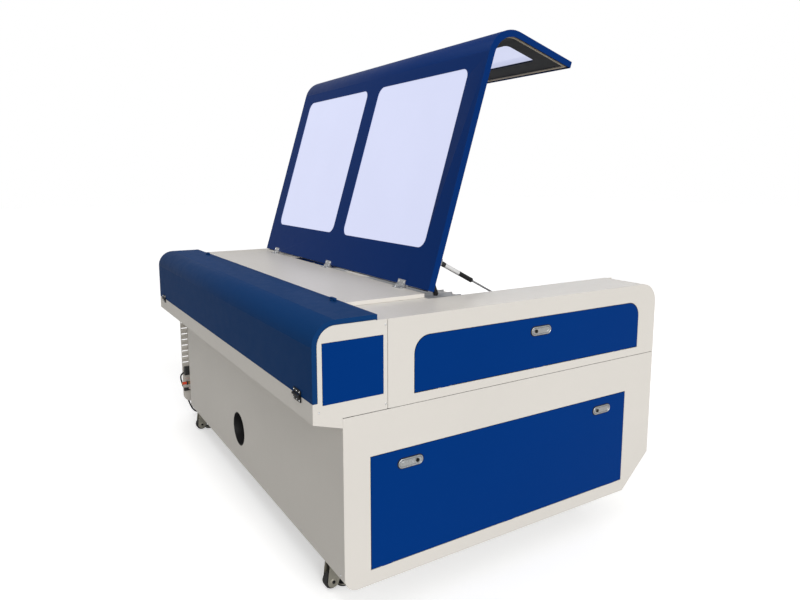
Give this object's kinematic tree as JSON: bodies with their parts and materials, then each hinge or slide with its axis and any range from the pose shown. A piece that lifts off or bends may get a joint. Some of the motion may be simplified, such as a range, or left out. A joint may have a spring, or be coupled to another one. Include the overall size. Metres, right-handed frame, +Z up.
{
  "type": "laser engraver",
  "caption": "Floor-standing gantry laser engraver with a lift-up bent lid, rear tube compartment, side access doors, rising work table and levelling casters.",
  "frame": {"origin": "on the floor under the middle of the machine", "axes": "+X operator's right, +Y towards the rear tube compartment, +Z up"},
  "size_m": [2.305, 1.5815, 1.9756],
  "materials": {
    "white_paint": "satin powder coat",
    "door_blue": "smooth semi-gloss paint",
    "cover_blue": "semi-gloss paint",
    "lid_blue": "semi-gloss paint",
    "frame_paint": "satin grey paint",
    "liner_black": "matt black",
    "window_acrylic": "tinted acrylic",
    "tube_glass": "clear",
    "seal_rubber": "matt foam rubber",
    "bright_steel": "bright",
    "black_metal": "satin black",
    "black_plastic": "matt black",
    "psu_metal": "satin",
    "brass": "bright",
    "cord_rubber": "matt black",
    "zinc": "satin",
    "aluminium": "anodised",
    "head_black": "black anodised",
    "stop_red": "gloss red",
    "caster_grey": "satin grey",
    "wheel_nylon": "matt black"
  },
  "bodies": {
    "cabinet": {"base_frame": "frame_paint", "base_pan": "white_paint", "left_lower_panel": "white_paint", "right_lower_panel": "white_paint", "rear_panel": "white_paint", "front_panel": "white_paint", "left_side_box": "white_paint", "right_side_box": "white_paint", "rear_top_cover": "white_paint", "tube_bay": "white_paint", "end_caps": "white_paint", "square_panels": "door_blue", "cover_hinge_plates": "black_metal", "hinge_pins": "bright_steel", "exhaust_collar": "black_plastic", "y_rails": "bright_steel", "laser_tube": "tube_glass", "tube_holders": "black_plastic", "power_supply": "psu_metal", "control_panel": "black_plastic", "rear_fittings": "brass", "lift_screws": "bright_steel", "cord_plugs": "black_plastic", "cord_run": "cord_rubber", "cord_coil": "cord_rubber"},
    "lid": {"lid_shell": "lid_blue", "lid_liner": "liner_black", "lid_windows": "window_acrylic", "lid_seal": "seal_rubber", "lid_fittings": "bright_steel"},
    "left_strut_barrel": {"left_strut_cylinder": "black_metal"},
    "left_strut_piston": {"left_strut_rod": "bright_steel"},
    "right_strut_barrel": {"right_strut_cylinder": "black_metal"},
    "right_strut_piston": {"right_strut_rod": "bright_steel"},
    "cover": {"tube_cover": "cover_blue"},
    "left_catch": {"left_cover_latch": "cover_blue"},
    "right_catch": {"right_cover_latch": "cover_blue"},
    "left_lower_door_leaf": {"left_lower_door": "door_blue"},
    "right_lower_door_leaf": {"right_lower_door": "door_blue"},
    "left_upper_door_leaf": {"left_upper_door": "door_blue"},
    "right_upper_door_leaf": {"right_upper_door": "door_blue"},
    "left_lower_rear_handle": {"left_lower_rear_paddle": "zinc"},
    "left_lower_front_handle": {"left_lower_front_paddle": "zinc"},
    "right_lower_rear_handle": {"right_lower_rear_paddle": "zinc"},
    "right_lower_front_handle": {"right_lower_front_paddle": "zinc"},
    "left_upper_handle": {"left_upper_paddle": "zinc"},
    "right_upper_handle": {"right_upper_paddle": "zinc"},
    "gantry": {"gantry_beam": "aluminium"},
    "head": {"carriage": "head_black"},
    "lens": {"lens_tube": "aluminium"},
    "table": {"work_table": "aluminium"},
    "stop_button": {"emergency_stop": "stop_red"},
    "rear_left_swivel": {"rear_left_fork": "caster_grey"},
    "rear_left_roller": {"rear_left_wheel": "wheel_nylon"},
    "rear_right_swivel": {"rear_right_fork": "caster_grey"},
    "rear_right_roller": {"rear_right_wheel": "wheel_nylon"},
    "front_left_swivel": {"front_left_fork": "caster_grey"},
    "front_left_roller": {"front_left_wheel": "wheel_nylon"},
    "front_right_swivel": {"front_right_fork": "caster_grey"},
    "front_right_roller": {"front_right_wheel": "wheel_nylon"}
  },
  "joints": [
    {"name": "lid_hinge", "type": "hinge", "parent": "cabinet", "child": "lid", "pos_m": [0, 0.226, 1.011], "axis": [1, 0, 0], "range_deg": [0, 73]},
    {"name": "left_strut_pivot", "type": "hinge", "parent": "lid", "child": "left_strut_barrel", "pos_m": [-0.798, 0.154, 1.1157], "axis": [1, 0, 0], "range_deg": [-97.56, 0.5]},
    {"name": "left_strut_slide", "type": "slide", "parent": "left_strut_barrel", "child": "left_strut_piston", "axis": [0, -0.8822, -0.471], "range_m": [-0.08926, 0.0005]},
    {"name": "right_strut_pivot", "type": "hinge", "parent": "lid", "child": "right_strut_barrel", "pos_m": [0.798, 0.154, 1.1157], "axis": [1, 0, 0], "range_deg": [-97.56, 0.5]},
    {"name": "right_strut_slide", "type": "slide", "parent": "right_strut_barrel", "child": "right_strut_piston", "axis": [0, -0.8822, -0.471], "range_m": [-0.08926, 0.0005]},
    {"name": "cover_hinge", "type": "hinge", "parent": "cabinet", "child": "cover", "pos_m": [0, 0.791, 0.757], "axis": [-1, 0, 0], "range_deg": [0, 100]},
    {"name": "left_catch_turn", "type": "hinge", "parent": "cover", "child": "left_catch", "pos_m": [-0.775, 0.58, 1.008], "axis": [0, 0, 1], "range_deg": [0, 90]},
    {"name": "right_catch_turn", "type": "hinge", "parent": "cover", "child": "right_catch", "pos_m": [0.775, 0.58, 1.008], "axis": [0, 0, -1], "range_deg": [0, 90]},
    {"name": "left_lower_door_hinge", "type": "hinge", "parent": "cabinet", "child": "left_lower_door_leaf", "pos_m": [-1.05, 0, 0.1573], "axis": [0, -1, 0], "range_deg": [0, 100]},
    {"name": "left_upper_door_hinge", "type": "hinge", "parent": "cabinet", "child": "left_upper_door_leaf", "pos_m": [-1.05, 0, 0.7283], "axis": [0, -1, 0], "range_deg": [0, 100]},
    {"name": "left_lower_rear_handle_turn", "type": "hinge", "parent": "left_lower_door_leaf", "child": "left_lower_rear_handle", "pos_m": [-1.0505, 0.4708, 0.496], "axis": [0, 0, -1], "range_deg": [0, 40], "stiffness_Nm_per_rad": 0.05},
    {"name": "left_lower_front_handle_turn", "type": "hinge", "parent": "left_lower_door_leaf", "child": "left_lower_front_handle", "pos_m": [-1.0505, -0.5138, 0.496], "axis": [0, 0, 1], "range_deg": [0, 40], "stiffness_Nm_per_rad": 0.05},
    {"name": "left_upper_handle_turn", "type": "hinge", "parent": "left_upper_door_leaf", "child": "left_upper_handle", "pos_m": [-1.0505, -0.1668, 0.868], "axis": [0, 0, 1], "range_deg": [0, 40], "stiffness_Nm_per_rad": 0.05},
    {"name": "right_lower_door_hinge", "type": "hinge", "parent": "cabinet", "child": "right_lower_door_leaf", "pos_m": [1.05, 0, 0.1573], "axis": [0, 1, 0], "range_deg": [0, 100]},
    {"name": "right_upper_door_hinge", "type": "hinge", "parent": "cabinet", "child": "right_upper_door_leaf", "pos_m": [1.05, 0, 0.7283], "axis": [0, 1, 0], "range_deg": [0, 100]},
    {"name": "right_lower_rear_handle_turn", "type": "hinge", "parent": "right_lower_door_leaf", "child": "right_lower_rear_handle", "pos_m": [1.0505, 0.4708, 0.496], "axis": [0, 0, 1], "range_deg": [0, 40], "stiffness_Nm_per_rad": 0.05},
    {"name": "right_lower_front_handle_turn", "type": "hinge", "parent": "right_lower_door_leaf", "child": "right_lower_front_handle", "pos_m": [1.0505, -0.5138, 0.496], "axis": [0, 0, -1], "range_deg": [0, 40], "stiffness_Nm_per_rad": 0.05},
    {"name": "right_upper_handle_turn", "type": "hinge", "parent": "right_upper_door_leaf", "child": "right_upper_handle", "pos_m": [1.0505, -0.1668, 0.868], "axis": [0, 0, -1], "range_deg": [0, 40], "stiffness_Nm_per_rad": 0.05},
    {"name": "gantry_travel", "type": "slide", "parent": "cabinet", "child": "gantry", "axis": [0, -1, 0], "range_m": [-0.04, 1]},
    {"name": "carriage_travel", "type": "slide", "parent": "gantry", "child": "head", "axis": [1, 0, 0], "range_m": [-0.72, 0.72]},
    {"name": "lens_focus", "type": "slide", "parent": "head", "child": "lens", "axis": [0, 0, 1], "range_m": [0, 0.01]},
    {"name": "table_lift", "type": "slide", "parent": "cabinet", "child": "table", "axis": [0, 0, 1], "range_m": [-0.15, 0]},
    {"name": "stop_press", "type": "slide", "parent": "cabinet", "child": "stop_button", "axis": [0, 0, -1], "range_m": [0, 0.005], "stiffness_N_per_m": 800, "springref_m": -0.004},
    {"name": "rear_left_swivel_turn", "type": "hinge", "parent": "cabinet", "child": "rear_left_swivel", "pos_m": [-0.85, 0.618, 0.137], "axis": [0, 0, 1], "continuous": true},
    {"name": "rear_left_wheel_spin", "type": "hinge", "parent": "rear_left_swivel", "child": "rear_left_roller", "pos_m": [-0.85, 0.64, 0.03], "axis": [1, 0, 0], "continuous": true},
    {"name": "rear_right_swivel_turn", "type": "hinge", "parent": "cabinet", "child": "rear_right_swivel", "pos_m": [0.85, 0.618, 0.137], "axis": [0, 0, 1], "continuous": true},
    {"name": "rear_right_wheel_spin", "type": "hinge", "parent": "rear_right_swivel", "child": "rear_right_roller", "pos_m": [0.85, 0.64, 0.03], "axis": [1, 0, 0], "continuous": true},
    {"name": "front_left_swivel_turn", "type": "hinge", "parent": "cabinet", "child": "front_left_swivel", "pos_m": [-0.85, -0.56, 0.137], "axis": [0, 0, 1], "continuous": true},
    {"name": "front_left_wheel_spin", "type": "hinge", "parent": "front_left_swivel", "child": "front_left_roller", "pos_m": [-0.85, -0.538, 0.03], "axis": [1, 0, 0], "continuous": true},
    {"name": "front_right_swivel_turn", "type": "hinge", "parent": "cabinet", "child": "front_right_swivel", "pos_m": [0.85, -0.56, 0.137], "axis": [0, 0, 1], "continuous": true},
    {"name": "front_right_wheel_spin", "type": "hinge", "parent": "front_right_swivel", "child": "front_right_roller", "pos_m": [0.85, -0.538, 0.03], "axis": [1, 0, 0], "continuous": true}
  ],
  "couplings": [
    {"joint": "left_strut_pivot", "follows": "lid_hinge", "ratio": -1.3296},
    {"joint": "left_strut_slide", "follows": "lid_hinge", "m_per_rad": -0.06967},
    {"joint": "right_strut_pivot", "follows": "lid_hinge", "ratio": -1.3296},
    {"joint": "right_strut_slide", "follows": "lid_hinge", "m_per_rad": -0.06967}
  ]
}
